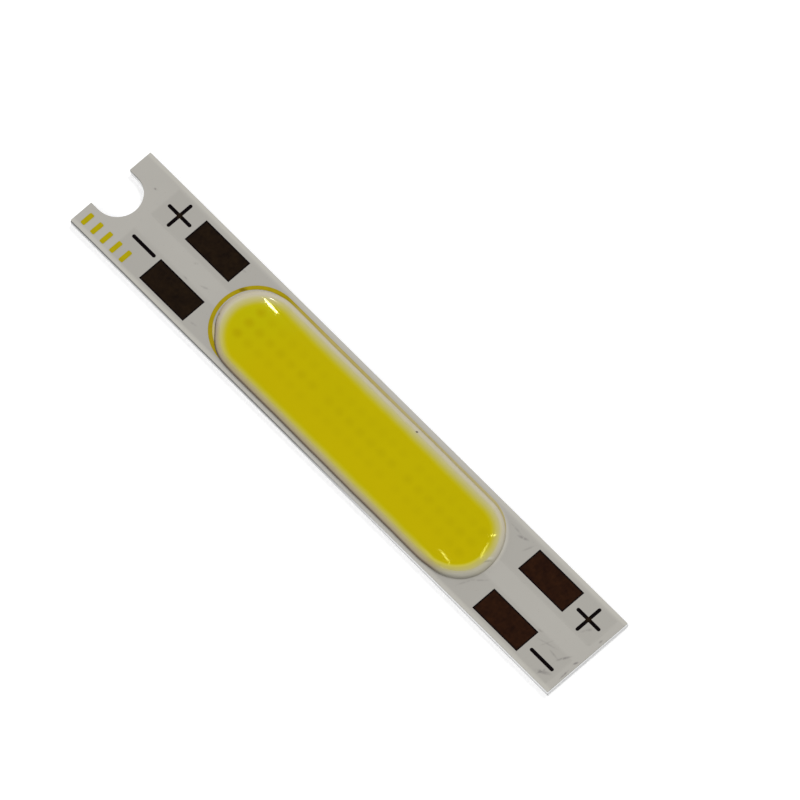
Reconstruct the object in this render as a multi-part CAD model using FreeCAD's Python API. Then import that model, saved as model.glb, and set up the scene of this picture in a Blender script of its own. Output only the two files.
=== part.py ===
import FreeCAD, Part
import math
import os

# One chip-on-board LED strip: an aluminium-core board with a screw notch in one end, two copper tracks under
# white solder mask, a pad and a polarity sign at each end of each track, and three rows of LED chips wired
# across the board under a long round-ended pool of phosphor gel, held in by a silicone dam.
# Millimetres. The origin is the middle of the underside. +X runs from the notch end to the far end, +Y from
# the minus side to the plus side, and +Z up out of the mask.

# Board
board_length = 65.0
board_width = 10.0
base_thickness = 0.8
laminate_thickness = 0.10
copper_thickness = 0.07
mask_thickness = 0.04        # over the copper
mask_dip = 0.012             # how much lower the mask lies where it has no copper under it
score_width = 0.06           # bevel that the scoring tool leaves along each long edge, top and bottom
score_depth = 0.20

# Screw notch
notch_radius = 2.4
notch_depth = 3.4

# Copper tracks: how far they reach past the pads and signs that lie on them
plus_track_lap = 0.15
minus_track_lap = 0.25
track_end_lap = 0.35
track_corner_radius = 0.3
mask_skirt = 0.1             # thickness of the mask on the copper's edges

# Pads and polarity signs
pad_length = 6.0
pad_width = 2.75
pad_from_notch_end = 8.65    # from the notch end of the board to the near pads
pad_from_far_end = 4.9
plus_pad_margin = 0.9        # from the board's plus edge
minus_pad_margin = 0.7       # from the board's minus edge
finish_thickness = 0.02
mark_length = 3.1
mark_stroke = 0.37
mark_to_near_pad = 0.5       # gap from a near sign to its pad
mark_to_far_pad = 0.65
plus_mark_offset = -0.13     # sign's line against the middle of its pad, towards the board's plus edge
minus_mark_offset_near = 1.1
minus_mark_offset_far = -0.25

# Light area: dam and gel
dam_from_near_pads = 1.45
dam_from_far_pads = 2.0
dam_minus_margin = 0.4       # from the board's minus edge to the dam
dam_plus_margin = 0.9
dam_width = 1.05
dam_height = 0.50            # over the mask
dam_crest = 0.48             # from the dam's outer foot to its crest
gel_edge_drop = 0.05         # how far under the crest the gel meets the dam
gel_dome = 0.16              # how far the gel rises in the middle above its edge

# Mask window and the well that is cut through the laminate
window_under_dam = 0.60      # how far the dam reaches out past the window
window_end_inset = 0.15      # extra at the round ends
landing_width = 1.45         # from the window's long edges to the well's
well_from_window_near = 1.75 # the same at the round ends
well_from_window_far = 1.20
copper_from_well = 0.15

# Printed outline and print
ring_margin = 0.81           # from the board's edge to the middle of the printed line
ring_stroke = 0.40
ring_from_near_pads = 1.05
ring_from_far_pads = 2.43
print_thickness = 0.02
bar_count = 5
bar_width = 0.5
bar_height = 1.35
bar_pitch = 1.3
bar_corner_radius = 0.12
bars_from_end = 0.75         # from the notch end to the first bar
bars_margin = 0.55           # from the board's minus edge

# LED chips
chip_length = 0.71           # along Y, in the direction of the wiring
chip_width = 0.36
chip_height = 0.15
die_bond_thickness = 0.02
die_bond_rim = 0.03
chips_in_group = 7
group_count = 3
group_gap = 0.77             # extra gap between two groups of columns
row_to_well = 0.465          # from the outer rows to the well's long edge
column_to_well = 0.70        # from the end chips of the middle row to the well's round end
corner_to_well = 0.10        # from the corner of an outer row's end chip to the well's round end

# Bond wires
wire_width = 0.03
wire_height = 0.20
wire_sides = 6
# Where a wire bends, as (share of its span, share of its height)
wire_bends = [(0, 0), (0, 0.55), (0.2, 1.0), (0.65, 0.75), (1, 0)]
chip_pad_inset = 0.11        # from a chip's end to the middle of its bond pad
track_bond_inset = 0.20      # from the track's edge to the bond

# How far a cutting shape runs past what it cuts
past = 1.0

# Heights
laminate_z = base_thickness
copper_z = laminate_z + laminate_thickness
copper_top = copper_z + copper_thickness
mask_top = copper_top + mask_thickness
mask_low_top = mask_top - mask_dip
print_top = mask_top + print_thickness
dam_top = mask_top + dam_height
chip_z = base_thickness + die_bond_thickness
chip_top = chip_z + chip_height

# Places along the board
half_length = board_length / 2
half_width = board_width / 2
top_half_width = half_width - score_width
near_pad_x = -half_length + pad_from_notch_end
far_pad_x = half_length - pad_from_far_end
plus_pad_y = half_width - plus_pad_margin - pad_width / 2
minus_pad_y = -half_width + minus_pad_margin + pad_width / 2
plus_mark_y = plus_pad_y + plus_mark_offset
near_mark_x = near_pad_x - mark_to_near_pad - mark_length / 2
far_mark_x = far_pad_x + mark_to_far_pad + mark_length / 2
track_start_x = near_mark_x - mark_length / 2 - track_end_lap
track_end_x = far_mark_x + mark_length / 2 + track_end_lap
plus_track_inner_y = min(plus_pad_y - pad_width / 2, plus_mark_y - mark_length / 2) - plus_track_lap
plus_track_outer_y = max(plus_pad_y + pad_width / 2, plus_mark_y + mark_length / 2) + plus_track_lap
minus_track_inner_y = minus_pad_y + pad_width / 2 + minus_track_lap
minus_track_outer_y = minus_pad_y - pad_width / 2 - minus_track_lap

# Dam: its spine is the line that the round ends are centred on
dam_radius = (board_width - dam_minus_margin - dam_plus_margin) / 2
dam_y = (dam_minus_margin - dam_plus_margin) / 2
dam_start_x = near_pad_x + pad_length + dam_from_near_pads
dam_end_x = far_pad_x - pad_length - dam_from_far_pads
gel_radius = dam_radius - dam_width
dam_crest_radius = dam_radius - dam_crest

# Window, well and printed line: all on the middle line of the board
window_radius = dam_radius - window_under_dam
window_start_x = dam_start_x + window_end_inset
window_end_x = dam_end_x - window_under_dam
well_radius = window_radius - landing_width
well_start_x = window_start_x + well_from_window_near
well_end_x = window_end_x - well_from_window_far
ring_radius = half_width - ring_margin
ring_start_x = near_pad_x + pad_length + ring_from_near_pads
ring_end_x = far_pad_x - pad_length - ring_from_far_pads

# Chips: the columns fill the well's length and the rows its width
row_pitch = (2 * well_radius - 2 * row_to_well - chip_length) / 2
first_column_x = well_start_x + column_to_well + chip_width / 2
last_column_x = well_end_x - column_to_well - chip_width / 2
column_count = chips_in_group * group_count
column_pitch = (last_column_x - first_column_x - (group_count - 1) * group_gap) / (column_count - 1)
outer_row_reach = math.sqrt((well_radius - corner_to_well) ** 2 - (row_pitch + chip_length / 2) ** 2)
outer_row_start_x = well_start_x + well_radius - outer_row_reach + chip_width / 2
outer_row_end_x = well_end_x - well_radius + outer_row_reach - chip_width / 2
rows = {"plus_row": row_pitch, "middle_row": 0.0, "minus_row": -row_pitch}


def vec(x, y, z=0.0):
    return FreeCAD.Vector(x, y, z)


def box(x0, x1, y0, y1, z0, z1):
    """Block between two corners."""
    return Part.makeBox(x1 - x0, y1 - y0, z1 - z0, vec(x0, y0, z0))


def rounded_block(x0, x1, y0, y1, z0, z1, radius):
    """Block with its four upright edges rounded."""
    block = box(x0, x1, y0, y1, z0, z1)
    upright = [e for e in block.Edges if abs(e.Vertexes[0].Z - e.Vertexes[1].Z) > (z1 - z0) / 2]
    return block.makeFillet(radius, upright)


def pill(x0, x1, y, radius, z0, z1):
    """Flat slab with round ends, from x0 to x1."""
    a, b = x0 + radius, x1 - radius
    top, bottom = y + radius, y - radius
    edges = [
        Part.makeLine(vec(a, bottom, z0), vec(b, bottom, z0)),
        Part.Arc(vec(b, bottom, z0), vec(x1, y, z0), vec(b, top, z0)).toShape(),
        Part.makeLine(vec(b, top, z0), vec(a, top, z0)),
        Part.Arc(vec(a, top, z0), vec(x0, y, z0), vec(a, bottom, z0)).toShape(),
    ]
    return Part.Face(Part.Wire(edges)).extrude(vec(0, 0, z1 - z0))


def around_spine(profile, x0, x1, y, reach):
    """Section carried all round a spine that ends reach inside x0 and x1."""
    a, b = x0 + reach, x1 - reach
    section = profile(a, y)
    up, across = vec(0, 0, 1), vec(0, 1, 0)
    plus_run = section.extrude(vec(b - a, 0, 0))
    far_turn = section.copy()
    far_turn.translate(vec(b - a, 0, 0))
    far_turn = far_turn.revolve(vec(b, y), up, -180)
    near_turn = section.revolve(vec(a, y), up, 180)
    minus_run = plus_run.mirror(vec(a, y), across)
    return plus_run.multiFuse([far_turn, near_turn, minus_run]).removeSplitter()


def notch_cutter():
    """U-shaped slot that is open at the board's end."""
    outside = -half_length - 2 * notch_radius
    return pill(outside, -half_length + notch_depth, 0, notch_radius, -past, mask_top + past)


def aluminium_base():
    """Core plate: the scoring leaves a bevel along both long edges, above and below."""
    side, inner = half_width, half_width - score_width
    low, high = score_depth, base_thickness - score_depth
    outline = [
        (-inner, 0), (inner, 0), (side, low), (side, high),
        (inner, base_thickness), (-inner, base_thickness), (-side, high), (-side, low), (-inner, 0),
    ]
    face = Part.Face(Part.makePolygon([vec(-half_length, y, z) for y, z in outline]))
    return face.extrude(vec(board_length, 0, 0)).cut(notch_cutter())


def laminate():
    """Insulating layer, with the well cut through it where the chips sit on the metal."""
    layer = box(-half_length, half_length, -top_half_width, top_half_width, laminate_z, copper_z)
    well = pill(well_start_x, well_end_x, 0, well_radius, laminate_z - past, copper_z + past)
    return layer.cut(notch_cutter()).cut(well)


def track_block(side, grow, z0, z1):
    """Outline of one copper track, before the well's clearance is taken out of it."""
    if side > 0:
        y0, y1 = plus_track_inner_y, plus_track_outer_y
    else:
        y0, y1 = minus_track_outer_y, minus_track_inner_y
    return rounded_block(
        track_start_x - grow, track_end_x + grow, y0 - grow, y1 + grow, z0, z1, track_corner_radius + grow
    )


def track(side):
    """Copper track, from the near pad along the well to the far pad."""
    reach = copper_from_well
    clearance = pill(
        well_start_x - reach, well_end_x + reach, 0, well_radius + reach, copper_z - past, copper_top + past
    )
    return track_block(side, 0.0, copper_z, copper_top).cut(clearance)


def pad(x, y, z0, z1):
    """Solder pad whose end nearer the notch is at x."""
    return box(x, x + pad_length, y - pad_width / 2, y + pad_width / 2, z0, z1)


def bar_along_x(x, y, z0, z1):
    """One stroke of a polarity sign, along the board."""
    return pill(x - mark_length / 2, x + mark_length / 2, y, mark_stroke / 2, z0, z1)


def minus_mark(x, y, z0, z1):
    return bar_along_x(x, y, z0, z1)


def plus_mark(x, y, z0, z1):
    stroke = bar_along_x(x, y, z0, z1)
    crossing = stroke.copy()
    crossing.rotate(vec(x, y), vec(0, 0, 1), 90)
    return stroke.fuse(crossing).removeSplitter()


def contacts(z0, z1):
    """Every place where the mask is open over the copper: four pads and four signs, by name."""
    return {
        "plus_pad_notch_end": pad(near_pad_x, plus_pad_y, z0, z1),
        "minus_pad_notch_end": pad(near_pad_x, minus_pad_y, z0, z1),
        "plus_pad_far_end": pad(far_pad_x - pad_length, plus_pad_y, z0, z1),
        "minus_pad_far_end": pad(far_pad_x - pad_length, minus_pad_y, z0, z1),
        "plus_mark_notch_end": plus_mark(near_mark_x, plus_mark_y, z0, z1),
        "minus_mark_notch_end": minus_mark(near_mark_x, minus_pad_y + minus_mark_offset_near, z0, z1),
        "plus_mark_far_end": plus_mark(far_mark_x, plus_mark_y, z0, z1),
        "minus_mark_far_end": minus_mark(far_mark_x, minus_pad_y + minus_mark_offset_far, z0, z1),
    }


def solder_mask(copper):
    """White mask: it lies a little higher over the copper, and is open at the contacts and the light area."""
    low = box(-half_length, half_length, -top_half_width, top_half_width, copper_z, mask_low_top)
    raised = [track_block(side, mask_skirt, copper_z, mask_top) for side in (1, -1)]
    window = pill(window_start_x, window_end_x, 0, window_radius, copper_z - past, mask_top + past)
    openings = list(contacts(copper_z - past, mask_top + past).values())
    return low.multiFuse(raised).cut([notch_cutter(), window] + openings + copper).removeSplitter()


def outline_ring(mask):
    """Printed line round the light area."""
    reach = ring_stroke / 2
    outer = pill(ring_start_x - reach, ring_end_x + reach, 0, ring_radius + reach, mask_low_top, print_top)
    low, high = mask_low_top - past, print_top + past
    inner = pill(ring_start_x + reach, ring_end_x - reach, 0, ring_radius - reach, low, high)
    return outer.cut([inner, mask])


def print_bars(mask):
    """Plain printed bars beside the notch."""
    y0 = -half_width + bars_margin
    y1 = y0 + bar_height
    bars = []
    for i in range(bar_count):
        x0 = -half_length + bars_from_end + i * bar_pitch
        bar = rounded_block(x0, x0 + bar_width, y0, y1, mask_low_top, print_top, bar_corner_radius)
        bars.append(bar.cut(mask))
    return bars


def chip_places():
    """Middle of each chip, by row: a list of (x, y) from the notch end to the far end."""
    places = {}
    for row, y in rows.items():
        columns = [
            first_column_x + i * column_pitch + (i // chips_in_group) * group_gap for i in range(column_count)
        ]
        if y:
            columns[0] = max(columns[0], outer_row_start_x)
            columns[-1] = min(columns[-1], outer_row_end_x)
        places[row] = [(x, y) for x in columns]
    return places


def chip(x, y):
    return box(
        x - chip_width / 2, x + chip_width / 2, y - chip_length / 2, y + chip_length / 2, chip_z, chip_top
    )


def die_bond(x, y):
    """Adhesive under one chip, a little wider than the chip."""
    across, along = chip_width / 2 + die_bond_rim, chip_length / 2 + die_bond_rim
    return box(x - across, x + across, y - along, y + along, base_thickness, chip_z)


def unit(a, b):
    size = math.hypot(a, b)
    return a / size, b / size


def polygon(points):
    return Part.Face(Part.makePolygon(points + points[:1]))


def bond_wire(start, end):
    """Fine straight-sided wire that rises from start, bends over and comes down on end."""
    span = math.hypot(end.x - start.x, end.y - start.y)
    ahead = vec((end.x - start.x) / span, (end.y - start.y) / span)
    aside = vec(-ahead.y, ahead.x)
    up = vec(0, 0, 1)
    # The path in its plane, as (along, height), and the direction of each stretch
    path = [(share * span, high * wire_height + share * (end.z - start.z)) for share, high in wire_bends]
    runs = [unit(b[0] - a[0], b[1] - a[1]) for a, b in zip(path, path[1:])]
    # A bend is mitred, and the feet are cut level so that they sit flat on what they are bonded to
    level = (1, 0)
    mitres = [unit(b[1] + a[1], -b[0] - a[0]) for a, b in zip(runs, runs[1:])]
    rings = []
    for (along, height), cut, run in zip(path, [level] + mitres + [level], runs[:1] + runs):
        centre = start + ahead * along + up * height
        # A slanted cut through the wire is longer than the wire is thick
        stretch = 1 / (cut[0] * run[1] - cut[1] * run[0])
        ring = []
        for k in range(wire_sides):
            angle = 2 * math.pi * k / wire_sides
            across = aside * (math.cos(angle) * wire_width / 2)
            in_cut = (ahead * cut[0] + up * cut[1]) * (math.sin(angle) * wire_width / 2 * stretch)
            ring.append(centre + across + in_cut)
        rings.append(ring)
    faces = [polygon(rings[0]), polygon(rings[-1])]
    for low, high in zip(rings, rings[1:]):
        for k in range(wire_sides):
            faces.append(polygon([low[k - 1], low[k], high[k], high[k - 1]]))
    solid = Part.Solid(Part.Shell(faces))
    if solid.Volume < 0:
        solid.reverse()
    return solid


def bond_wires(places):
    """Four sets of wires: from the plus track across the three chips of each column to the minus track."""
    reach = chip_length / 2 - chip_pad_inset
    bond_y = well_radius + copper_from_well + track_bond_inset
    names = ["wires_plus_track", "wires_plus_to_middle", "wires_middle_to_minus", "wires_minus_track"]
    sets = {name: [] for name in names}
    for (x1, y1), (x2, y2), (x3, y3) in zip(places["plus_row"], places["middle_row"], places["minus_row"]):
        ends = [
            (vec(x1, y1 + reach, chip_top), vec(x1, bond_y, copper_top)),
            (vec(x1, y1 - reach, chip_top), vec(x2, y2 + reach, chip_top)),
            (vec(x2, y2 - reach, chip_top), vec(x3, y3 + reach, chip_top)),
            (vec(x3, y3 - reach, chip_top), vec(x3, -bond_y, copper_top)),
        ]
        for name, (start, end) in zip(names, ends):
            sets[name].append(bond_wire(start, end))
    return sets


def quarter_oval(x, y, foot, crest, foot_z, top_z):
    """Arc that leaves the foot upright and ends level at the crest."""
    half_turn = math.sqrt(0.5)
    shoulder = (crest + (foot - crest) * half_turn, foot_z + (top_z - foot_z) * half_turn)
    ends = [(foot, foot_z), shoulder, (crest, top_z)]
    return Part.Arc(*[vec(x, y + r, z) for r, z in ends]).toShape()


def dam_profile(x, y):
    """Bead of silicone: steep outside, round over the crest, and a longer slope down to the gel's floor."""
    outside = quarter_oval(x, y, dam_radius, dam_crest_radius, mask_top, dam_top)
    inside = quarter_oval(x, y, gel_radius, dam_crest_radius, copper_z, dam_top)
    inner_foot, outer_foot = vec(x, y + gel_radius, copper_z), vec(x, y + dam_radius, copper_z)
    underside = Part.makeLine(inner_foot, outer_foot)
    heel = Part.makeLine(outer_foot, vec(x, y + dam_radius, mask_top))
    return Part.Face(Part.Wire([outside, inside, underside, heel]))


def gel_profile(x, y):
    """Half section of the pool of gel, from its middle out to the dam's crest, with a gently domed top."""
    edge_z = dam_top - gel_edge_drop
    middle_z = edge_z + gel_dome
    foot, edge = vec(x, y + dam_crest_radius, base_thickness), vec(x, y + dam_crest_radius, edge_z)
    middle, floor = vec(x, y, middle_z), vec(x, y, base_thickness)
    # Point half way out on the arc that is level in the middle
    dome_radius = (dam_crest_radius ** 2 + gel_dome ** 2) / (2 * gel_dome)
    half_way = dam_crest_radius / 2
    on_dome = vec(x, y + half_way, middle_z - dome_radius + math.sqrt(dome_radius ** 2 - half_way ** 2))
    sides = [Part.makeLine(edge, foot), Part.makeLine(foot, floor), Part.makeLine(floor, middle)]
    return Part.Face(Part.Wire([Part.Arc(middle, on_dome, edge).toShape()] + sides))


def build():
    parts = {"aluminium_base": aluminium_base(), "laminate": laminate()}
    plus_track, minus_track = track(1), track(-1)
    parts["plus_track"] = plus_track
    parts["minus_track"] = minus_track
    parts.update(contacts(copper_top, copper_top + finish_thickness))
    mask = solder_mask([plus_track, minus_track])
    parts["solder_mask"] = mask
    ring = outline_ring(mask)
    parts["outline_ring"] = ring
    parts["print_bars"] = Part.makeCompound(print_bars(mask))

    places = chip_places()
    inner_pieces = []
    for row, spots in places.items():
        for name, maker in (("chips_", chip), ("die_bond_", die_bond)):
            pieces = [maker(x, y) for x, y in spots]
            parts[name + row] = Part.makeCompound(pieces)
            inner_pieces += pieces
    for name, wires in bond_wires(places).items():
        parts[name] = Part.makeCompound(wires)
        inner_pieces += wires

    tops = [parts["laminate"], plus_track, minus_track, mask, ring]
    dam = around_spine(dam_profile, dam_start_x, dam_end_x, dam_y, dam_radius).cut(tops)
    parts["dam_ring"] = dam
    pool = around_spine(gel_profile, dam_start_x, dam_end_x, dam_y, dam_radius)
    parts["phosphor_gel"] = pool.cut(tops + [dam]).cut(inner_pieces)
    return parts


os.makedirs("parts", exist_ok=True)
for node, shape in build().items():
    shape.exportStep("parts/" + node + ".step")
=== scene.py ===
import math

import bmesh
import bpy
from bpy.props import FloatProperty, FloatVectorProperty, IntProperty, PointerProperty
from mathutils import Matrix, Quaternion, Vector, noise


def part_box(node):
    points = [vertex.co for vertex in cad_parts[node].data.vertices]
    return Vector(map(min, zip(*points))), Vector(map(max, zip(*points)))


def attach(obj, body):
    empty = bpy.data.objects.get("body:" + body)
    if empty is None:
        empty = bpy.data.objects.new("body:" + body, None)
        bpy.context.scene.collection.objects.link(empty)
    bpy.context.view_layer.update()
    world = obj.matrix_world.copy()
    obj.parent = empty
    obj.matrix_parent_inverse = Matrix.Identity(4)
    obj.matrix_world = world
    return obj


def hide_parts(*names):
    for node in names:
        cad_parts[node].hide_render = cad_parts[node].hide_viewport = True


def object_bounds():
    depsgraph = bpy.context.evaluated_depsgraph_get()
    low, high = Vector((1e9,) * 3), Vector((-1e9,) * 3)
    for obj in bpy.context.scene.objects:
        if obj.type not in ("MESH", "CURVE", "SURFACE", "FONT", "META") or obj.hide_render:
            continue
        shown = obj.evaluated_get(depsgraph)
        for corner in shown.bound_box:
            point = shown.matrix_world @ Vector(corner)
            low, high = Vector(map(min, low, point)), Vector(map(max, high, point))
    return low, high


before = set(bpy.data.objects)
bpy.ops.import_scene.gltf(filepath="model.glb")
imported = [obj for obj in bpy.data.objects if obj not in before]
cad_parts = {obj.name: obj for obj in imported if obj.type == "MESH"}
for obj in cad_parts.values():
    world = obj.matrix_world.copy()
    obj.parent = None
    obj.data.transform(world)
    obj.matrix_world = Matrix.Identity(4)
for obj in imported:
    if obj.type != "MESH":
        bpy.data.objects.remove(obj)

bl_info = {
    "name": "Light strip with chips under gel",
    "version": (1, 0, 0),
    "blender": (4, 5, 0),
    "location": "3D View > Sidebar > Light Strip",
    "description": "Dresses the packed strip in its finishes, pours its dam and gel, and sets the studio",
    "category": "Object",
}

MM = 0.001
CAD_BOX = [list(corner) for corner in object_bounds()]
HALF_LENGTH, HALF_WIDTH = CAD_BOX[1][0] / MM, CAD_BOX[1][1] / MM

# The poured dam and gel and the painted chips take their places from their nodes, in millimetres.
DAM_LOW, DAM_HIGH = (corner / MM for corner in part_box("dam_ring"))
GEL_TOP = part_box("phosphor_gel")[1].z / MM
DAM_RADIUS = (DAM_HIGH.y - DAM_LOW.y) / 2
SPINE_Y = (DAM_HIGH.y + DAM_LOW.y) / 2
SPINE_NEAR = DAM_LOW.x + DAM_RADIUS
SPINE_FAR = DAM_HIGH.x - DAM_RADIUS
CHIP_LOW, CHIP_HIGH = (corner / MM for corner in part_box("chips_middle_row"))
SIDE_ROW_LOW, SIDE_ROW_HIGH = (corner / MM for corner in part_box("chips_plus_row"))
COPPER_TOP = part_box("plus_track")[1].z / MM
MASK_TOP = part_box("solder_mask")[1].z / MM


def screen(red, green, blue):
    """Scene colour of a colour as a screen shows it, each part from 0 to 255."""
    parts = (part / 255 for part in (red, green, blue))
    return tuple(p / 12.92 if p <= 0.04045 else ((p + 0.055) / 1.055) ** 2.4 for p in parts)


def colour(name, description, red, green, blue):
    """Property for the colour of one finish."""
    return FloatVectorProperty(name=name, description=description, default=screen(red, green, blue),
                               subtype="COLOR", size=3, min=0, max=1)


def length(name, description, millimetres):
    """Property for a length, stored in metres."""
    return FloatProperty(name=name, description=description, default=millimetres * MM,
                         unit="LENGTH", subtype="DISTANCE", precision=5)


def angle(name, description, degrees):
    """Property for an angle, stored in radians."""
    return FloatProperty(name=name, description=description, default=math.radians(degrees),
                         unit="ROTATION", subtype="ANGLE")


def share(name, description, value, high=1.0):
    """Property for a plain number."""
    return FloatProperty(name=name, description=description, default=value, min=0, max=high,
                         subtype="FACTOR" if high == 1.0 else "NONE")


class StripFinishes(bpy.types.PropertyGroup):
    """Colours of the strip's finishes."""
    mask: colour("White mask", "Lacquer over the copper", 173, 170, 161)
    smear: colour("Smear", "Grey of the finger marks on the mask", 134, 130, 125)
    contact: colour("Contact", "Tarnished finish of the contact faces", 31, 21, 9)
    contact_dark: colour("Contact edge", "Rim of the contact faces, and the signs", 10, 5, 4)
    print_ink: colour("Print", "Yellow ink of the bars", 172, 157, 4)
    ring_ink: colour("Ring print", "Yellow ink of the outline round the dam", 164, 145, 12)
    aluminium: colour("Aluminium", "Cut faces of the core", 222, 222, 222)
    laminate: colour("Laminate", "Filled resin between core and copper", 150, 149, 138)
    copper: colour("Copper", "Edges of the conductors", 190, 112, 80)
    silicone: colour("Dam silicone", "Milky bead round the gel", 197, 189, 166)
    gel: colour("Gel", "Phosphor filled gel", 187, 171, 0)
    gel_deep: colour("Gel over a chip", "Gel where a chip shows faintly below it", 176, 159, 0)
    chip: colour("Chip", "Top of a light emitting chip", 96, 122, 150)
    adhesive: colour("Die adhesive", "Silver filled adhesive", 176, 176, 172)
    wire: colour("Bond wire", "Gold wire", 226, 178, 84)


class PouredSizes(bpy.types.PropertyGroup):
    """Sizes of the dam and of the gel."""
    crest_radius: length("Crest radius", "From the middle line of the slot to the dam's crest", 3.87)
    floor_radius: length("Gel floor radius", "From the middle line of the slot to the dam's inner foot", 3.30)
    overlap: length("Overlap", "How far the gel's thin edge laps over the dam's crest", 0.04)
    waver: length("Waver", "How far the bead strays sideways", 0.035)
    sag: length("Sag", "How far the crest dips here and there", 0.004)
    arc_steps: IntProperty(name="Arc steps", description="Cuts round each end of the slot",
                           default=40, min=8)
    run_steps: IntProperty(name="Run steps", description="Cuts along each side of the slot",
                           default=72, min=8)


class StudioSettings(bpy.types.PropertyGroup):
    """Camera and light."""
    azimuth: angle("Azimuth", "Camera's turn round the strip, from looking along +Y", 53.926)
    elevation: angle("Elevation", "Camera's height above the horizon", 65.998)
    roll: angle("Roll", "Camera's lean to its own right", -6.8)
    distance: length("Distance", "Camera to the middle of the strip's foot", 2441.85)
    across: length("Across", "Camera's slide to its own right", 4.711)
    upward: length("Upward", "Camera's slide to its own top", 2.293)
    focal: FloatProperty(name="Focal length", description="Camera lens", default=1200.0,
                         unit="CAMERA", min=1)
    sky: share("Sky", "Even light from all round", 0.56, 4.0)
    key: share("Key lamp", "Power in watts of the soft lamp behind the strip", 3.2, 100.0)
    fill: share("Fill lamp", "Power in watts of the soft lamp beside the camera", 2.1, 100.0)


class Wire:
    """A number socket on which Python's own arithmetic adds Math nodes."""

    def __init__(self, graph, socket):
        self.graph = graph
        self.socket = socket

    def math(self, operation, *others):
        return self.graph.math(operation, self, *others)

    def __add__(self, other):
        return self.math("ADD", other)

    __radd__ = __add__

    def __sub__(self, other):
        return self.math("SUBTRACT", other)

    def __rsub__(self, other):
        return self.graph.math("SUBTRACT", other, self)

    def __mul__(self, other):
        return self.math("MULTIPLY", other)

    def __truediv__(self, other):
        return self.math("DIVIDE", other)

    def __pow__(self, other):
        return self.math("POWER", other)

    def __abs__(self):
        return self.math("ABSOLUTE")

    def at_least(self, other):
        return self.math("MAXIMUM", other)

    def at_most(self, other):
        return self.math("MINIMUM", other)

    def between(self, low, high):
        return self.at_least(low).at_most(high)

    def rise(self, start, end):
        """From 0 at start to 1 at end, eased at both; falls where start is above end."""
        low, high, turned = (start, end, False) if start < end else (end, start, True)
        eased = self.graph.out("ShaderNodeMapRange", {"interpolation_type": "SMOOTHSTEP"},
                               {"Value": self, "From Min": low, "From Max": high})
        return 1 - eased if turned else eased


def opaque(tint):
    """A colour with full alpha, or the socket that it comes from."""
    return tint if isinstance(tint, Wire) else (*tint, 1)


def reach(dx, dy):
    """Length of a step with these two legs."""
    return (dx * dx + dy * dy) ** 0.5


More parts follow.
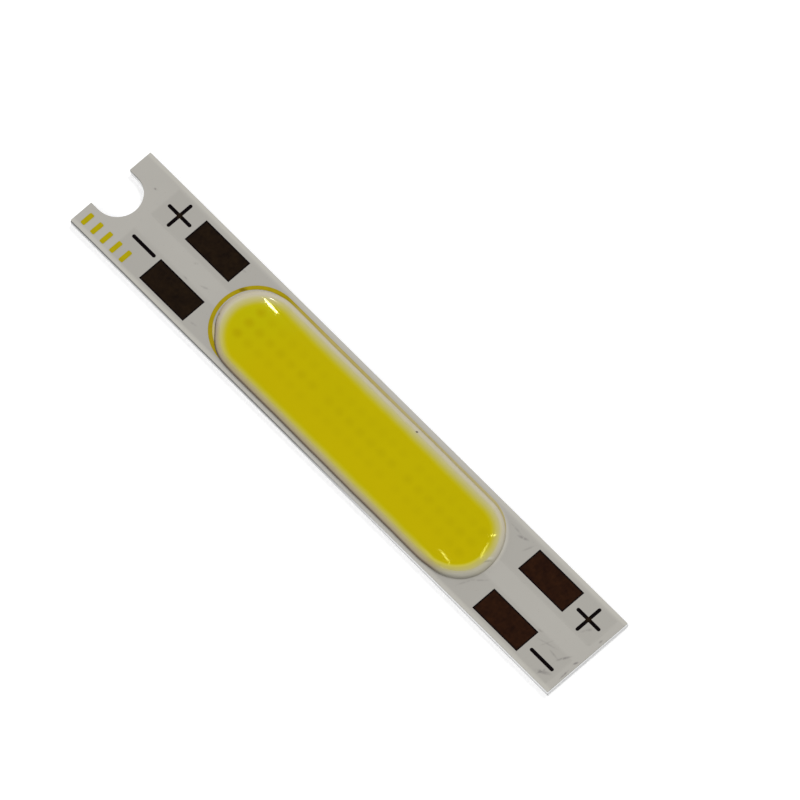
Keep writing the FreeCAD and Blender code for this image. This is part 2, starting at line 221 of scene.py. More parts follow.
class Graph:
    """A material's node tree, in millimetres of the strip's own frame."""

    def __init__(self, name):
        self.material = bpy.data.materials.new(name)
        self.material.use_nodes = True
        self.tree = self.material.node_tree
        self.tree.nodes.clear()
        place = self.out("ShaderNodeTexCoord", {}, {}, "Object")
        self.place = self.out("ShaderNodeMapping", {}, {"Vector": place, "Scale": (1 / MM,) * 3}, "Vector")
        split = self.node("ShaderNodeSeparateXYZ", {}, {"Vector": self.place})
        self.x, self.y, self.z = (Wire(self, split.outputs[axis]) for axis in "XYZ")

    def node(self, kind, settings, values):
        """Adds a node: its settings first, then its sockets' values or links."""
        made = self.tree.nodes.new(kind)
        for name, value in settings.items():
            if name == "stops":
                self.set_stops(made.color_ramp, value)
            else:
                setattr(made, name, value)
        for name, value in values.items():
            socket = made.inputs[name]
            if isinstance(value, Wire):
                self.tree.links.new(value.socket, socket)
            else:
                socket.default_value = value
        return made

    @staticmethod
    def set_stops(ramp, stops):
        """Gives a colour ramp its stops, each a share of the way and a colour."""
        while len(ramp.elements) < len(stops):
            ramp.elements.new(0.5)
        for element, (position, tint) in zip(ramp.elements, stops):
            element.position = position
            element.color = (*tint, 1)

    def out(self, kind, settings, values, output=0):
        """Adds a node and takes one of its outputs."""
        return Wire(self, self.node(kind, settings, values).outputs[output])

    def math(self, operation, *values):
        return self.out("ShaderNodeMath", {"operation": operation}, dict(enumerate(values)))

    def mix(self, factor, first, second):
        """Blend of two colours."""
        settings = {"data_type": "RGBA", "clamp_factor": True}
        return self.out("ShaderNodeMix", settings, {0: factor, 6: opaque(first), 7: opaque(second)}, 2)

    def shade(self, tint, amount):
        """Colour made lighter or darker by a number near 1."""
        grey = self.out("ShaderNodeCombineColor", {}, {"Red": amount, "Green": amount, "Blue": amount})
        settings = {"data_type": "RGBA", "blend_type": "MULTIPLY"}
        return self.out("ShaderNodeMix", settings, {0: 1.0, 6: opaque(tint), 7: grey}, 2)

    def ramp(self, factor, stops):
        return self.out("ShaderNodeValToRGB", {"stops": stops}, {"Fac": factor})

    def stretched(self, scale, turn=0.0):
        """Coordinates stretched and turned, for grain and smears."""
        values = {"Vector": self.place, "Scale": scale, "Rotation": (0, 0, math.radians(turn))}
        return self.out("ShaderNodeMapping", {}, values, "Vector")

    def noise(self, size, detail, where=None):
        """Soft noise around 0.5 with patches about the given size in millimetres."""
        values = {"Vector": where or self.place, "Scale": 1 / size, "Detail": detail}
        return self.out("ShaderNodeTexNoise", {}, values)

    def bump(self, height, depth):
        """Normal of a relief, from a height of 0 to 1 and its full depth in millimetres."""
        return self.out("ShaderNodeBump", {}, {"Height": height, "Strength": 1.0, "Distance": depth * MM})

    def ellipse(self, x, y, half_length, half_width, turn):
        """Distance from an ellipse's middle, 1 at its edge."""
        c, s = math.cos(math.radians(turn)), math.sin(math.radians(turn))
        dx, dy = self.x - x, self.y - y
        along = (dx * c + dy * s) / half_length
        over = (dy * c - dx * s) / half_width
        return reach(along, over)

    def slot_distance(self, near, far, y):
        """Distance from the line between two points along X."""
        return reach(self.x - self.x.between(near, far), self.y - y)

    def stored(self, name):
        """Number that the mesh keeps at each point."""
        return self.out("ShaderNodeAttribute", {"attribute_name": name}, {}, "Fac")

    def finish(self, base, roughness, normal, metallic=0.0, **constants):
        """Closes the tree with its surface; a constant's name has _ for each space of its socket's."""
        values = {"Base Color": base, "Roughness": roughness, "Metallic": metallic, "Normal": normal}
        values.update({name.replace("_", " "): value for name, value in constants.items()})
        surface = self.out("ShaderNodeBsdfPrincipled", {}, values)
        self.node("ShaderNodeOutputMaterial", {}, {"Surface": surface})
        return self.material


def dress(material, *nodes):
    """Gives CAD nodes their finish."""
    for name in nodes:
        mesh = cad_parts[name].data
        mesh.materials.clear()
        mesh.materials.append(material)


# The metal is torn between its two score cuts: heights where the tear begins to show, and where it ends.
TEAR_BOTTOM, TEAR_TOP = (0.18, 0.26), (0.62, 0.54)


def near_half(g):
    """The part towards the notch, where the photo shows the long edges dark."""
    return g.x.rise(14.0, -4.0)


def aluminium_finish(tint):
    """Rolled and scored aluminium: grain along the strip, a torn web between the two score cuts, and painted
    shade on the top bevel towards the notch.
    """
    g = Graph("scored aluminium")
    grain = g.noise(0.05, 3, g.stretched((0.04, 1, 1)))
    streaks = g.noise(0.3, 2, g.stretched((0.6, 0.6, 3)))
    web = g.z.rise(*TEAR_BOTTOM) * g.z.rise(*TEAR_TOP)
    side = abs(g.y).rise(HALF_WIDTH - 0.06, HALF_WIDTH - 0.03)
    end = abs(g.x).rise(HALF_LENGTH - 0.06, HALF_LENGTH - 0.03)
    torn = web * side + web * end
    rough = g.noise(0.09, 4)
    # Painted shade: the top of the side faces is darkened in the half towards the notch.
    shaded_bevel = g.z.rise(0.56, 0.66) * near_half(g)
    value = 0.86 + grain * 0.16 + streaks * 0.10 - torn * (0.22 - rough * 0.12) - shaded_bevel * 0.80
    height = grain * 0.35 + torn * rough
    return g.finish(g.shade(tint, value), 0.36 + torn * 0.22 + grain * 0.08, g.bump(height, 0.02), 0.9)


def laminate_finish(tint):
    """Grey filled resin with pale filler specks, and painted shade on its long sides towards the notch."""
    g = Graph("filled laminate")
    specks = g.noise(0.06, 2).rise(0.58, 0.72)
    cloud = g.noise(0.5, 3)
    base = g.mix(specks * 0.5, g.shade(tint, 0.88 + cloud * 0.2), screen(196, 194, 180))
    side = abs(g.y).rise(HALF_WIDTH - 0.10, HALF_WIDTH - 0.02)
    # Painted shade: the long sides are darkened in the half towards the notch.
    base = g.shade(base, 1 - near_half(g) * side * 0.8)
    return g.finish(base, 0.62 + specks * 0.1, g.bump(cloud, 0.01))


def copper_finish(tint):
    """Etched copper with a slightly browned skin."""
    g = Graph("etched copper")
    brown = g.noise(0.4, 4).rise(0.42, 0.72)
    grain = g.noise(0.04, 2)
    base = g.mix(brown * 0.55, g.shade(tint, 0.9 + grain * 0.2), screen(120, 70, 46))
    return g.finish(base, 0.32 + brown * 0.2, g.bump(grain, 0.006), 1.0)


def box_distance(g, name):
    """Signed distance from the sides of a node's box, below 0 inside."""
    low, high = (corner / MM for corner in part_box(name))
    middle, half = (low + high) / 2, (high - low) / 2
    return (abs(g.x - middle.x) - half.x).at_least(abs(g.y - middle.y) - half.y)


# Finger marks and scuffs: X, Y, half length, half width, turn in degrees, strength.
SMEARS = (
    (19.7, 3.75, 0.64, 0.17, 20, 0.55),
    (18.6, 3.91, 0.99, 0.12, -5, 0.30),
    (20.8, 3.37, 0.66, 0.12, 71, 0.30),
    (30.8, -3.92, 0.84, 0.24, 29, 0.45),
    (30.6, -3.99, 0.51, 0.13, 75, 0.45),
    (31.1, -1.66, 0.81, 0.14, 62, 0.60),
    (30.2, -2.05, 0.71, 0.11, -5, 0.36),
    (27.6, -1.31, 0.37, 0.13, 11, 0.45),
    (29.0, -1.75, 1.24, 0.10, 15, 0.26),
    (28.9, -1.75, 0.78, 0.09, 68, 0.24),
    (30.6, 1.92, 0.92, 0.17, 60, 0.30),
    (20.1, -1.96, 1.01, 0.11, 47, 0.26),
    (19.3, -3.07, 1.00, 0.12, 65, 0.24),
    (32.2, -1.18, 0.30, 0.12, 70, 0.70),
    (32.2, 1.92, 0.25, 0.12, 79, 0.70),
    (32.3, -2.68, 0.62, 0.10, 93, 0.60),
    (-29.4, 2.82, 0.27, 0.13, 21, 0.60),
    (-21.3, 0.46, 0.24, 0.13, 25, 0.60),
    (-20.9, -1.19, 0.36, 0.10, -3, 0.30),
    (-18.9, -0.57, 0.59, 0.13, 22, 0.26),
    (-17.0, -3.81, 0.44, 0.13, 11, 0.26),
    (-17.7, 3.16, 0.33, 0.10, 10, 0.30),
)


def lit_by_bead(g):
    """How much light the bead throws beside its foot: along its plus side and round both ends."""
    close = g.slot_distance(SPINE_NEAR, SPINE_FAR, SPINE_Y).rise(DAM_RADIUS + 0.45, DAM_RADIUS - 0.05)
    plus_side = g.y.rise(3.6, 4.1)
    far_end = g.x.rise(15.5, 17.5) * g.y.rise(-1.5, 0.5)
    near_end = g.x.rise(-13.0, -14.5) * g.y.rise(-1.0, 0.5)
    return close * (plus_side + far_end + near_end).at_most(1.0)


def mask_finish(tint, smear):
    """Matt white lacquer: faint orange peel, slow unevenness, dust, the smears of handling, and painted light
    beside the dam's foot.
    """
    g = Graph("white mask")
    peel = g.noise(0.16, 2)
    slow = g.noise(3.2, 3)
    fine = g.noise(0.05, 1)
    covered = 0.0
    for track in ("plus_track", "minus_track"):
        covered = box_distance(g, track).rise(0.22, -0.12) + covered
    base = g.mix(covered * (0.7 + slow * 0.5), tint, screen(166, 163, 154))
    margin = abs(g.y).rise(HALF_WIDTH - 0.58, HALF_WIDTH - 0.28)
    base = g.mix(margin * 0.6, base, screen(190, 187, 176))
    base = g.mix(lit_by_bead(g) * 0.6, base, screen(208, 204, 190))
    # Painted light: a pale yellow patch beside the dam's foot on the near end's minus side, where the gel's
    # yellow light falls on the mask.
    spilled_yellow_light = g.ellipse(-15.0, -3.22, 1.3, 0.30, -46).rise(1.2, 0.5)
    base = g.mix(spilled_yellow_light * 0.6, base, screen(208, 192, 98))
    base = g.shade(base, 1.0 + slow * 0.06 + fine * 0.03)
    broken = g.noise(0.35, 4)
    marks = 0.0
    for x, y, half_length, half_width, turn, strength in SMEARS:
        spot = g.ellipse(x, y, half_length, half_width, turn).rise(1.25, 0.2)
        marks = spot * strength + marks
    smeared = marks * broken.rise(0.28, 0.56) * 1.5
    base = g.mix(smeared.at_most(0.9), base, smear)
    dust = g.noise(0.10, 0, g.stretched((1, 1, 1), 20)).rise(0.80, 0.86)
    base = g.mix(dust * 0.4, base, screen(120, 112, 100))
    return g.finish(base, 0.50 + marks * 0.12 + peel * 0.08, g.bump(peel, 0.004), Specular_IOR_Level=0.35)


def pad_finish(tint, dark, names):
    """Tarnished contact metal: brown patches, brushed lines both ways, and a darker rim."""
    g = Graph("tarnished contact")
    patch = g.noise(0.9, 3)
    brushed = g.noise(0.07, 2, g.stretched((1, 0.18, 1), 38))
    crossed = g.noise(0.09, 2, g.stretched((1, 0.2, 1), -50))
    far = g.x.rise(-10, 10)
    body = g.mix(far, tint, screen(42, 22, 8))
    mottled = g.noise(0.35, 4)
    tone = patch * 1.1 + mottled * 0.8 + brushed * 0.4 + crossed * 0.3 - 0.38
    body = g.shade(body, tone.at_least(0.4))
    rim = 1.0
    for name in names:
        rim = box_distance(g, name).at_most(rim)
    base = g.mix(rim.rise(-0.20, -0.08), body, dark)
    return g.finish(base, 0.46 + patch * 0.12, g.bump(brushed + crossed, 0.003), Specular_IOR_Level=0.03)


def sign_finish(tint, dark):
    """Thin contact lines, browner where a plus sign's strokes cross."""
    g = Graph("tarnished signs")
    worn = g.noise(0.25, 3)
    centre = 0.0
    for name in ("plus_mark_notch_end", "plus_mark_far_end"):
        low, high = (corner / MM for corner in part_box(name))
        middle = (low + high) / 2
        centre = g.ellipse(middle.x, middle.y, 0.45, 0.45, 0).rise(1.0, 0.3) + centre
    base = g.mix(centre * 0.8, g.shade(dark, 0.75 + worn * 0.5), tint)
    return g.finish(base, 0.5 + worn * 0.12, g.bump(worn, 0.004), Specular_IOR_Level=0.03)


def ink_finish(name, tint, smudge=None):
    """Screen printed ink in thin and thick patches with pinholes; one with a smudge fades to its far end."""
    g = Graph(name)
    thick = g.noise(0.45, 3)
    weave = g.noise(0.09, 2)
    base = g.shade(tint, 0.80 + thick * 0.28 + weave * 0.12)
    if smudge:
        faded = g.x.rise(-11.0, -6.0) * 0.22 + g.x.rise(-4.0, 5.0) * 0.28
        base = g.mix(faded * (0.75 + thick * 0.5), base, screen(186, 180, 162))
        dark = g.ellipse(*smudge).rise(1.1, 0.2) * g.noise(0.3, 3).rise(0.3, 0.55)
        base = g.mix(dark * 0.75, base, screen(104, 84, 6))
    base = g.mix(weave.rise(0.76, 0.82) * 0.4, base, screen(178, 170, 120))
    past_near_end = g.x.rise(-13.0, -11.0)
    base = g.mix(lit_by_bead(g) * past_near_end * 0.4, base, screen(214, 198, 130))
    return g.finish(base, 0.55 + weave * 0.1, g.bump(thick + weave, 0.006), Specular_IOR_Level=0.05)


# Seen through the silicone, what lies under the gel sits this far from its place on the gel's top.
SIGHT_X, SIGHT_Y = 0.20, -0.14
# The yellow field: the line that its ends turn round, and how far out it is full and where it is gone.
FIELD_NEAR, FIELD_FAR, FIELD_Y = -11.84, 15.10, -0.28
FIELD_FULL, FIELD_CLEAR = 3.00, 4.20
# The chips: the way between rows, a chip's length, the wider step between groups, and the numbers of both.
CHIP_PITCH_ROW = (SIDE_ROW_LOW.y + SIDE_ROW_HIGH.y) / 2 - (CHIP_LOW.y + CHIP_HIGH.y) / 2
CHIP_LENGTH = 0.71
GROUP_GAP = 0.77
GROUPS, GROUP_CHIPS = 3, 7
# How far a chip's shadow spreads, and a distance that is past any chip's shadow.
SHADOW_REACH, NO_CHIP = 0.72, 9.0


def silicone_colour(g, silicone, gel):
    """Yellow over the gel's pool, fading to milky silicone; sharper at the far end's minus side."""
    field = g.slot_distance(FIELD_NEAR + SIGHT_X, FIELD_FAR + SIGHT_X, FIELD_Y + SIGHT_Y)
    wander = g.noise(1.6, 2)
    short = g.x.rise(-11.0, -14.0) * g.y.rise(0.5, -2.0)
    field = field + (wander - 0.5) * 0.16 + short * 0.16
    way = (field - FIELD_FULL) / (FIELD_CLEAR - FIELD_FULL)
    soft = g.ramp(way, (
        (0.0, gel), (0.10, screen(189, 175, 11)), (0.22, screen(188, 176, 36)), (0.37, screen(188, 177, 70)),
        (0.56, screen(189, 180, 104)), (0.78, screen(192, 184, 132)), (1.0, silicone)))
    sharp = g.ramp(way, (
        (0.0, gel), (0.13, screen(188, 173, 4)), (0.19, screen(196, 184, 44)), (0.30, screen(198, 188, 80)),
        (0.42, screen(188, 178, 92)), (0.62, screen(184, 176, 110)), (0.80, screen(183, 176, 134)),
        (1.0, screen(180, 175, 150))))
    return g.mix(g.x.rise(13.0, 15.5) * g.y.rise(1.2, -0.8), soft, sharp)


def chip_shadows(g):
    """How much of a chip shows at each place, 0 to 1, strongest along the middle row and at both ends."""
    first = CHIP_LOW.x + CHIP_LENGTH / 2 + SIGHT_X
    last = CHIP_HIGH.x - CHIP_LENGTH / 2 + SIGHT_X
    pitch = (last - first - (GROUPS - 1) * GROUP_GAP) / (GROUPS * GROUP_CHIPS - 1)
    row = ((g.y - SIGHT_Y) / CHIP_PITCH_ROW).math("ROUND").between(-1, 1)
    dy = g.y - SIGHT_Y - row * CHIP_PITCH_ROW
    nearest = NO_CHIP
    for group in range(GROUPS):
        start = first + group * (GROUP_CHIPS * pitch + GROUP_GAP)
        step = ((g.x - start) / pitch).math("ROUND").between(0, GROUP_CHIPS - 1)
        dx = (g.x - start - step * pitch) * 0.85
        nearest = reach(dx, dy).at_most(nearest)
    soft = nearest.rise(SHADOW_REACH, 0.05)
    ends = g.x.rise(-11.2, -13.4).at_least(g.x.rise(14.4, 16.4))
    weight = (0.42 + (1 - abs(row)) * 0.36).at_least(ends * 0.85)
    return soft * weight * (0.6 + g.noise(2.4, 2) * 0.8)


def gel_finish(silicone, gel, deep):
    """Glossy gel: yellow in slow swirls, warmer to the minus side, with its chips faintly darker."""
    g = Graph("phosphor gel")
    base = silicone_colour(g, silicone, gel)
    field = g.slot_distance(FIELD_NEAR, FIELD_FAR, FIELD_Y)
    inside = field.rise(3.4, 2.7)
    swirl = g.noise(2.8, 3)
    base = g.shade(base, 0.965 + swirl * 0.07)
    warm = g.y.rise(1.5, -2.8) * inside
    base = g.mix(warm * 0.35, base, screen(193, 170, 1))
    pale = g.x.rise(-8.0, -14.5) * inside
    base = g.mix(pale * (0.45 + g.y.rise(-2.0, 2.0) * 0.4), base, screen(183, 177, 4))
    base = g.mix(chip_shadows(g) * inside * (0.58 + pale * 0.55), base, deep)
    ripple = g.noise(1.1, 2)
    return g.finish(base, 0.028 + swirl * 0.003, g.bump(ripple, 0.0001), IOR=1.41,
                    Specular_IOR_Level=1.0, Specular_Tint=(1.0, 1.0, 0.04, 1.0))


def dam_finish(silicone, gel):
    """Milky silicone bead: the gel's yellow shows through its inner slope, and its minus side is in shade."""
    g = Graph("dam silicone")
    base = silicone_colour(g, silicone, gel)
    cloud = g.noise(0.8, 3)
    base = g.shade(base, 0.95 + cloud * 0.08)
    out = g.slot_distance(SPINE_NEAR, SPINE_FAR, SPINE_Y)
    drawn = g.stored("drawn_radius")
    foot = drawn.rise(DAM_RADIUS - 0.17, DAM_RADIUS - 0.04)
    facing = (SPINE_Y - g.y) / out
    near_end, far_end = g.x.rise(-12.0, -13.5), g.x.rise(15.5, 17.5)
    lee = facing.rise(0.20, 0.55)
    shaded = lee.at_least(facing.rise(-0.85, 0.3) * near_end * 0.85)
    slope = drawn.rise(DAM_RADIUS - 0.85, DAM_RADIUS + 0.10)
    shadow = g.mix(far_end, screen(150, 132, 115), screen(150, 146, 134))
    base = g.mix(slope * shaded * 0.75, base, shadow)
    # Painted shadow: a dark line along the bead's foot on its minus side, weaker and greyer at the far end.
    line = g.mix(far_end, screen(92, 80, 70), screen(104, 101, 94))
    base = g.mix(foot * lee * (0.80 - far_end * 0.25), base, line)
    cool = drawn.rise(3.55, 4.15) * g.x.rise(16.5, 18.5) * g.y.rise(3.5, 1.5)
    base = g.mix(cool * 0.5, base, screen(178, 175, 165))
    # Painted light: the bead's foot at the near end, on its plus side, is lightened to lift the shade there.
    painted_foot_light = drawn.rise(DAM_RADIUS - 0.30, DAM_RADIUS) * near_end * facing.rise(0.1, -0.3)
    base = g.mix(painted_foot_light * 0.6, base, screen(208, 202, 188))
    # Painted shade and highlight: a dark streak and a pale one beside it at the far end stand for a small
    # crease in the bead.
    painted_crease_shade = g.ellipse(19.30, -0.35, 0.56, 0.10, 58).rise(1.3, 0.2)
    base = g.mix(painted_crease_shade * 0.55, base, screen(134, 131, 114))
    painted_fold_highlight = g.ellipse(19.28, 0.08, 0.42, 0.12, 58).rise(1.3, 0.2)
    base = g.mix(painted_fold_highlight * 0.5, base, screen(200, 199, 182))
    # A dark speck on the plus side, and a short dark tick at the foot of the near end's minus side.
    specks = g.ellipse(5.37, 3.69, 0.14, 0.10, 20).rise(1.2, 0.5)
    specks = specks + g.ellipse(-15.90, -1.50, 0.20, 0.06, 115).rise(1.2, 0.4) * 0.7
    base = g.mix(specks * 0.85, base, screen(70, 60, 48))
    return g.finish(base, 0.16 + cloud * 0.08, g.bump(g.noise(0.7, 3), 0.006),
                    IOR=1.41, Specular_IOR_Level=0.06)


def chip_finish(tint):
    """Chip: blue grey top and darker cut sides."""
    g = Graph("chip")
    side = g.z.rise(COPPER_TOP + 0.12, COPPER_TOP + 0.03)
    grain = g.noise(0.05, 2)
    base = g.mix(side * 0.6, g.shade(tint, 0.85 + grain * 0.3), screen(40, 52, 66))
    return g.finish(base, 0.18 + grain * 0.1, g.bump(grain, 0.002), 0.2)


def adhesive_finish(tint):
    """Silver filled adhesive."""
    g = Graph("die adhesive")
    flakes = g.noise(0.03, 2)
    base = g.shade(tint, 0.7 + flakes * 0.5)
    return g.finish(base, 0.4 + flakes * 0.2, g.bump(flakes, 0.004), 0.6)


def wire_finish(tint):
    """Drawn gold wire with faint draw lines."""
    g = Graph("bond wire")
    lines = g.noise(0.02, 1, g.stretched((0.2, 1, 1)))
    base = g.shade(tint, 0.85 + lines * 0.3)
    return g.finish(base, 0.22 + lines * 0.12, g.bump(lines, 0.001), 1.0)


# How finely the sections are drawn and rounded, and how deep the dam's foot is sunk in the mask.
OVAL_STEPS, GEL_STEPS, ROUNDING = 9, 16, 1
FOOT_SUNK = 0.03


def oval(foot, crest, foot_z, top_z):
    """Section points of a quarter oval, upright at the foot and level at the crest."""
    turns = [math.pi / 2 * step / OVAL_STEPS for step in range(OVAL_STEPS + 1)]
    return [(crest + (foot - crest) * math.cos(t), foot_z + (top_z - foot_z) * math.sin(t)) for t in turns]


def swept(section, sizes, closed):
    """Mesh of a section of radii and heights, drawn along both sides of the slot and round both ends."""
    bm = bmesh.new()
    verts = [bm.verts.new((SPINE_FAR, SPINE_Y + r, z)) for r, z in section]
    pairs = list(zip(verts, verts[1:]))
    if closed:
        pairs.append((verts[-1], verts[0]))
    last = verts + [bm.edges.new(pair) for pair in pairs]
    run = SPINE_FAR - SPINE_NEAR
    legs = (
        (SPINE_NEAR, 0.0, -run, sizes.run_steps),
        (SPINE_NEAR, math.pi, 0.0, sizes.arc_steps),
        (SPINE_FAR, 0.0, run, sizes.run_steps),
        (SPINE_FAR, math.pi, 0.0, sizes.arc_steps),
    )
    for centre, turn, shift, steps in legs:
        made = bmesh.ops.spin(bm, geom=last, cent=(centre, SPINE_Y, 0), axis=(0, 0, 1),
                              dvec=(shift / steps, 0, 0), angle=turn, steps=steps,
                              use_merge=False, use_duplicate=False)
        last = made["geom_last"]
    bmesh.ops.remove_doubles(bm, verts=bm.verts, dist=1e-4)
    bmesh.ops.recalc_face_normals(bm, faces=bm.faces)
    return bm


def spine_offset(point):
    """The way out to a point from the slot's middle line."""
    return Vector((point.x - min(max(point.x, SPINE_NEAR), SPINE_FAR), point.y - SPINE_Y, 0))


def unevenness(point, size, seed):
    """Soft noise from about -1 to 1 at a place in the strip's frame."""
    return noise.noise(Vector((point.x / size, point.y / size, seed)))


# Where the bead was laid off its line: X, Y, how far along it shows, and how far outwards.
STRAYS = (
    (-15.0, -3.20, 1.8, -0.34),
    (-12.8, -4.30, 1.2, -0.08),
    (18.9, -2.10, 2.2, 0.29),
    (15.9, -4.40, 0.8, -0.10),
    (9.0, 4.20, 9.0, 0.10),
    (-16.1, 0.90, 2.2, 0.15),
)


def settle(bm, sizes):
    """Lets a poured piece stray a little sideways and sag a little, the same way at the same place."""
    waver, crest = sizes.waver / MM, sizes.crest_radius / MM
    drawn = bm.verts.layers.float.new("drawn_radius")
    for vert in bm.verts:
        out = spine_offset(vert.co)
        vert[drawn] = out.length
        stray = waver * (unevenness(vert.co, 5.5, 1.3) + 0.4 * unevenness(vert.co, 1.7, 4.1) - 0.7)
        for x, y, reach, push in STRAYS:
            stray += push * math.exp(-((vert.co.x - x) ** 2 + (vert.co.y - y) ** 2) / reach ** 2)
        sag = sizes.sag / MM * (0.5 + 0.5 * unevenness(vert.co, 4.2, 7.7))
        lift = (vert.co.z - COPPER_TOP) / (DAM_HIGH.z - COPPER_TOP)
        vert.co += out.normalized() * stray * min(1.0, out.length / crest) ** 4
        vert.co.z -= sag * min(1.0, lift)


def as_piece(bm, name, material, node):
    """Turns a mesh in millimetres into a finished piece that stands for a CAD node."""
    bmesh.ops.scale(bm, vec=(MM,) * 3, verts=bm.verts)
    for face in bm.faces:
        face.smooth = True
    mesh = bpy.data.meshes.new(name)
    bm.to_mesh(mesh)
    bm.free()
    mesh.materials.append(material)
    piece = bpy.data.objects.new(name, mesh)
    bpy.context.scene.collection.objects.link(piece)
    finer = piece.modifiers.new("finer", "SUBSURF")
    finer.levels = finer.render_levels = ROUNDING
    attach(piece, "root")
    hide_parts(node)
    return piece


class LIGHTSTRIP_OT_core(bpy.types.Operator):
    """Gives the aluminium core its scored and rolled finish"""
    bl_idname = "light_strip.core"
    bl_label = "Aluminium core"

    def execute(self, context):
        finishes = context.scene.strip_finishes
        dress(aluminium_finish(finishes.aluminium), "aluminium_base")
        return {"FINISHED"}


class LIGHTSTRIP_OT_circuit(bpy.types.Operator):
    """Finishes the laminate, the conductors, the contact faces and their signs"""
    bl_idname = "light_strip.circuit"
    bl_label = "Circuit"

    def execute(self, context):
        finishes = context.scene.strip_finishes
        dress(laminate_finish(finishes.laminate), "laminate")
        dress(copper_finish(finishes.copper), "plus_track", "minus_track")
        pads = [f"{sign}_pad_{end}" for sign in ("plus", "minus") for end in ("notch_end", "far_end")]
        signs = [name.replace("pad", "mark") for name in pads]
        dress(pad_finish(finishes.contact, finishes.contact_dark, pads), *pads)
        dress(sign_finish(finishes.contact, finishes.contact_dark), *signs)
        return {"FINISHED"}


class LIGHTSTRIP_OT_mask(bpy.types.Operator):
    """Coats the board in white mask, with the smears of handling"""
    bl_idname = "light_strip.mask"
    bl_label = "White mask"

    def execute(self, context):
        finishes = context.scene.strip_finishes
        dress(mask_finish(finishes.mask, finishes.smear), "solder_mask")
        return {"FINISHED"}


class LIGHTSTRIP_OT_print(bpy.types.Operator):
    """Inks the outline round the dam and the plain bars by the notch"""
    bl_idname = "light_strip.print"
    bl_label = "Yellow print"

    def execute(self, context):
        finishes = context.scene.strip_finishes
        smudge = (-16.36, 1.81, 0.55, 0.28, 50)
        dress(ink_finish("ring ink", finishes.ring_ink, smudge), "outline_ring")
        dress(ink_finish("bar ink", finishes.print_ink), "print_bars")
        return {"FINISHED"}


class LIGHTSTRIP_OT_emitters(bpy.types.Operator):
    """Finishes the chips, their adhesive and their bond wires under the gel"""
    bl_idname = "light_strip.emitters"
    bl_label = "Chips and wires"

    def execute(self, context):
        finishes = context.scene.strip_finishes
        rows = ("plus_row", "middle_row", "minus_row")
        dress(chip_finish(finishes.chip), *[f"chips_{row}" for row in rows])
        dress(adhesive_finish(finishes.adhesive), *[f"die_bond_{row}" for row in rows])
        wires = ("plus_track", "plus_to_middle", "middle_to_minus", "minus_track")
        dress(wire_finish(finishes.wire), *[f"wires_{wire}" for wire in wires])
        return {"FINISHED"}


class LIGHTSTRIP_OT_dam(bpy.types.Operator):
    """Lays the silicone bead round the gel"""
    bl_idname = "light_strip.dam"
    bl_label = "Dam"

    def execute(self, context):
        finishes, sizes = context.scene.strip_finishes, context.scene.poured_sizes
        crest, floor = sizes.crest_radius / MM, sizes.floor_radius / MM
        outside = oval(DAM_RADIUS, crest, MASK_TOP - FOOT_SUNK, DAM_HIGH.z)
        inside = oval(floor, crest, COPPER_TOP, DAM_HIGH.z)
        bm = swept(outside + inside[-2::-1], sizes, True)
        settle(bm, sizes)
        finish = dam_finish(finishes.silicone, finishes.gel)
        as_piece(bm, "dam_bead", finish, "dam_ring")
        return {"FINISHED"}


class LIGHTSTRIP_OT_gel(bpy.types.Operator):
    """Pours the phosphor gel inside the dam"""
    bl_idname = "light_strip.gel"
    bl_label = "Gel"

    def execute(self, context):
        finishes, sizes = context.scene.strip_finishes, context.scene.poured_sizes
        edge = sizes.crest_radius / MM + sizes.overlap / MM
        rise = GEL_TOP - DAM_HIGH.z
        section = []
        for step in range(GEL_STEPS + 1):
            radius = edge * step / GEL_STEPS
            section.append((radius, DAM_HIGH.z + rise * (1 - (radius / edge) ** 2)))
        section += [(edge, COPPER_TOP), (0.0, COPPER_TOP)]
        bm = swept(section, sizes, False)
        settle(bm, sizes)
        finish = gel_finish(finishes.silicone, finishes.gel, finishes.gel_deep)
        as_piece(bm, "gel_pool", finish, "phosphor_gel")
        return {"FINISHED"}


def bearing(azimuth, elevation):
    """Unit vector from the strip towards an azimuth and an elevation."""
    level = math.cos(elevation)
    return Vector((math.sin(azimuth) * level, -math.cos(azimuth) * level, math.sin(elevation)))


def area_lamp(name, shape, size, power):
    """Lamp with an area; it still has to be placed and turned."""
    light = bpy.data.lights.new(name, "AREA")
    light.shape = shape
    light.size, light.size_y = size
    light.energy = power
    lit = bpy.data.objects.new(name, light)
    bpy.context.scene.collection.objects.link(lit)
    return lit


def soft_lamp(name, azimuth, elevation, size, power):
    """Lamp a metre from the strip's foot, at an azimuth and an elevation in degrees, that faces it."""
    away = bearing(math.radians(azimuth), math.radians(elevation))
    lit = area_lamp(name, "RECTANGLE", size, power)
    lit.location = away
    lit.rotation_euler = (-away).to_track_quat("-Z", "Y").to_euler()
    return lit


def sight(studio):
    """The camera's place and its own right, up and back."""
    back = bearing(studio.azimuth, studio.elevation)
    level = Vector((math.cos(studio.azimuth), math.sin(studio.azimuth), 0))
    right = Quaternion(back, studio.roll) @ level
    up = back.cross(right)
    eye = back * studio.distance + right * studio.across + up * studio.upward
    return eye, right, up, back


# What the gel mirrors: X and Y where each glint starts and ends, its width, its strength, and how blue
# its lamp is, which makes up for the yellow tint of the gel's gloss.
GLINTS = (
    (-14.18, 2.48, -12.20, 2.39, 0.20, 44, 7.0),
    (-14.17, 2.74, -13.03, 3.20, 0.18, 50, 18.0),
    (15.40, -2.74, 17.20, -2.97, 0.12, 9, 5.0),
    (18.09, 0.94, 18.79, -0.66, 0.12, 7, 5.0),
    (17.68, 1.62, 18.00, 2.10, 0.14, 16, 5.0),
)


# Half the step, in millimetres, over which the gel's slope is felt.
FEELER = 0.08


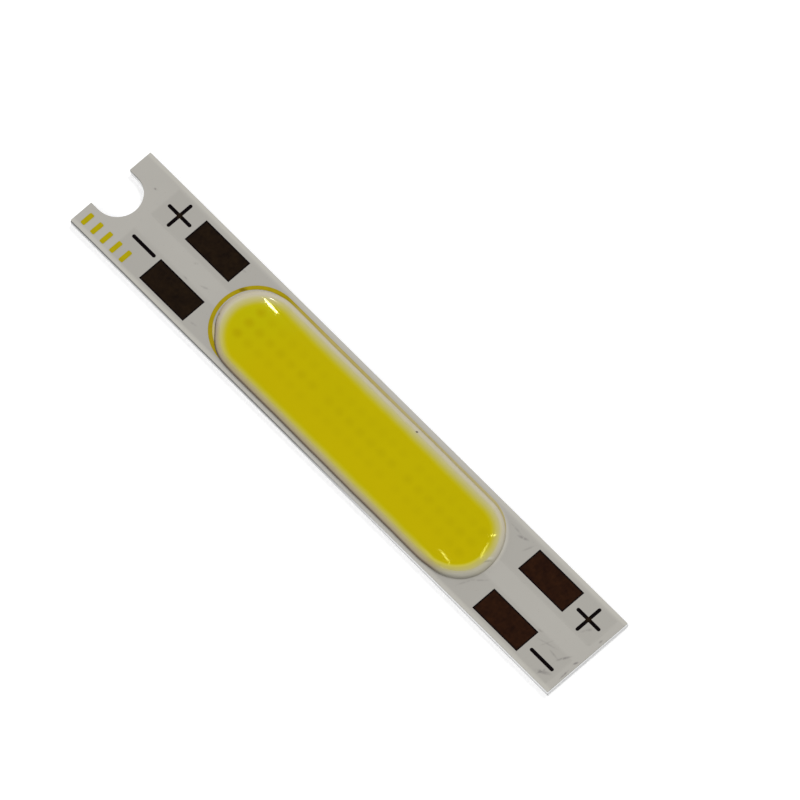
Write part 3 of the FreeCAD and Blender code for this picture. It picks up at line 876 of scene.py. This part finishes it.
def top_of(piece, x, y):
    """Point of a piece's top over a place given in millimetres."""
    hit, where, _, _ = piece.ray_cast(Vector((x, y, 10)) * MM, Vector((0, 0, -1)))
    if not hit:
        raise RuntimeError(f"{piece.name} has no top at {x}, {y}")
    return where


def mirrored(gel, x, y, eye):
    """Place a metre away that the eye sees mirrored in the gel's top."""
    spot = top_of(gel, x, y)
    run = top_of(gel, x + FEELER, y) - top_of(gel, x - FEELER, y)
    over = top_of(gel, x, y + FEELER) - top_of(gel, x, y - FEELER)
    normal = run.cross(over).normalized()
    view = (eye - spot).normalized()
    return spot + 2 * view.dot(normal) * normal - view


def glint(name, place, eye, gel):
    """Thin lamp that the gel mirrors along one line of its top; it gives no diffuse light."""
    x0, y0, x1, y1, width, strength, blue = place
    start, end = mirrored(gel, x0, y0, eye), mirrored(gel, x1, y1, eye)
    middle = (start + end) / 2
    along = (end - start).normalized()
    away = (middle - along * middle.dot(along)).normalized()
    curve = 2 * (GEL_TOP - DAM_HIGH.z) / DAM_RADIUS ** 2
    size = (end - start).length, width * curve * 2
    lit = area_lamp(name, "ELLIPSE", size, strength * math.pi * size[0] * size[1])
    lit.data.color = (1, 1, blue)
    lit.visible_diffuse = False
    lit.location = middle
    lit.rotation_mode = "QUATERNION"
    lit.rotation_quaternion = Matrix((along, away.cross(along), away)).transposed().to_quaternion()


def floor_finish():
    """Plain white floor: it keeps its shadow, and glows a little to the camera and in reflections."""
    g = Graph("studio floor")
    tone = g.noise(400, 2)
    paint = g.shade((0.93, 0.93, 0.93), 0.99 + tone * 0.02)
    diffuse = g.out("ShaderNodeBsdfDiffuse", {}, {"Color": paint})
    path = g.node("ShaderNodeLightPath", {}, {})
    seen = Wire(g, path.outputs["Is Camera Ray"])
    for ray in ("Is Glossy Ray", "Is Transmission Ray"):
        seen = seen.at_least(Wire(g, path.outputs[ray]))
    glow = g.out("ShaderNodeEmission", {}, {"Color": (1, 1, 1, 1), "Strength": seen * 0.28})
    both = g.out("ShaderNodeAddShader", {}, {0: diffuse, 1: glow})
    g.node("ShaderNodeOutputMaterial", {}, {"Surface": both})
    return g.material


class LIGHTSTRIP_OT_stage(bpy.types.Operator):
    """Sets the floor, the lamps and the camera"""
    bl_idname = "light_strip.stage"
    bl_label = "Studio"

    def execute(self, context):
        studio = context.scene.studio
        self.floor()
        self.light(studio)
        self.glints(context)
        self.camera(studio)
        return {"FINISHED"}

    @staticmethod
    def floor():
        """Floor of 6 by 6 metres, a hair below the strip's foot."""
        bm = bmesh.new()
        bmesh.ops.create_grid(bm, x_segments=8, y_segments=8, size=3.0)
        mesh = bpy.data.meshes.new("studio_floor")
        bm.to_mesh(mesh)
        bm.free()
        mesh.materials.append(floor_finish())
        floor = bpy.data.objects.new("studio_floor", mesh)
        floor.location.z = -0.02 * MM
        bpy.context.scene.collection.objects.link(floor)

    @staticmethod
    def light(studio):
        """Even white air, a soft lamp behind the strip, and one beside the camera."""
        world = bpy.data.worlds.new("studio air")
        world.use_nodes = True
        background = world.node_tree.nodes["Background"]
        background.inputs["Color"].default_value = (1, 1, 1, 1)
        background.inputs["Strength"].default_value = studio.sky
        bpy.context.scene.world = world
        key = soft_lamp("key lamp", 186, 60, (0.4, 0.3), studio.key)
        key.visible_glossy = False
        soft_lamp("fill lamp", 10, 50, (0.3, 0.3), studio.fill)

    @staticmethod
    def glints(context):
        """The thin lamps that the gel mirrors."""
        gel = bpy.data.objects["gel_pool"].evaluated_get(context.evaluated_depsgraph_get())
        eye = sight(context.scene.studio)[0]
        for number, place in enumerate(GLINTS, 1):
            glint(f"glint lamp {number}", place, eye, gel)

    @staticmethod
    def camera(studio):
        """The camera, which leans as the photo's does."""
        scene = bpy.context.scene
        eye, right, up, back = sight(studio)
        lens = bpy.data.cameras.new("studio camera")
        lens.lens, lens.sensor_width = studio.focal, 36.0
        lens.clip_start, lens.clip_end = 0.01, 10.0
        camera = bpy.data.objects.new("studio camera", lens)
        camera.location = eye
        camera.rotation_mode = "QUATERNION"
        camera.rotation_quaternion = Matrix((right, up, back)).transposed().to_quaternion()
        scene.collection.objects.link(camera)
        scene.camera = camera
        scene.view_settings.view_transform = "Standard"


STEPS = (LIGHTSTRIP_OT_core, LIGHTSTRIP_OT_circuit, LIGHTSTRIP_OT_mask, LIGHTSTRIP_OT_print,
         LIGHTSTRIP_OT_emitters, LIGHTSTRIP_OT_dam, LIGHTSTRIP_OT_gel, LIGHTSTRIP_OT_stage)


class LIGHTSTRIP_PT_panel(bpy.types.Panel):
    """Lists the steps that dress the strip"""
    bl_idname = "LIGHTSTRIP_PT_panel"
    bl_label = "Light Strip"
    bl_space_type = "VIEW_3D"
    bl_region_type = "UI"
    bl_category = "Light Strip"

    def draw(self, context):
        for step in STEPS:
            self.layout.operator(step.bl_idname)
        for group in (context.scene.strip_finishes, context.scene.poured_sizes, context.scene.studio):
            box = self.layout.box()
            for name in group.__annotations__:
                box.prop(group, name)


GROUP_CLASSES = {"strip_finishes": StripFinishes, "poured_sizes": PouredSizes, "studio": StudioSettings}
CLASSES = (*GROUP_CLASSES.values(), *STEPS, LIGHTSTRIP_PT_panel)


def register():
    """Adds the classes and the settings that the scene keeps."""
    for each in CLASSES:
        bpy.utils.register_class(each)
    for name, group in GROUP_CLASSES.items():
        setattr(bpy.types.Scene, name, PointerProperty(type=group))


def unregister():
    """Takes them out again."""
    for name in GROUP_CLASSES:
        delattr(bpy.types.Scene, name)
    for each in reversed(CLASSES):
        bpy.utils.unregister_class(each)


def main():
    """Runs every step once."""
    register()
    for step in STEPS:
        family, name = step.bl_idname.split(".")
        getattr(getattr(bpy.ops, family), name)()


if __name__ == "__main__":
    main()
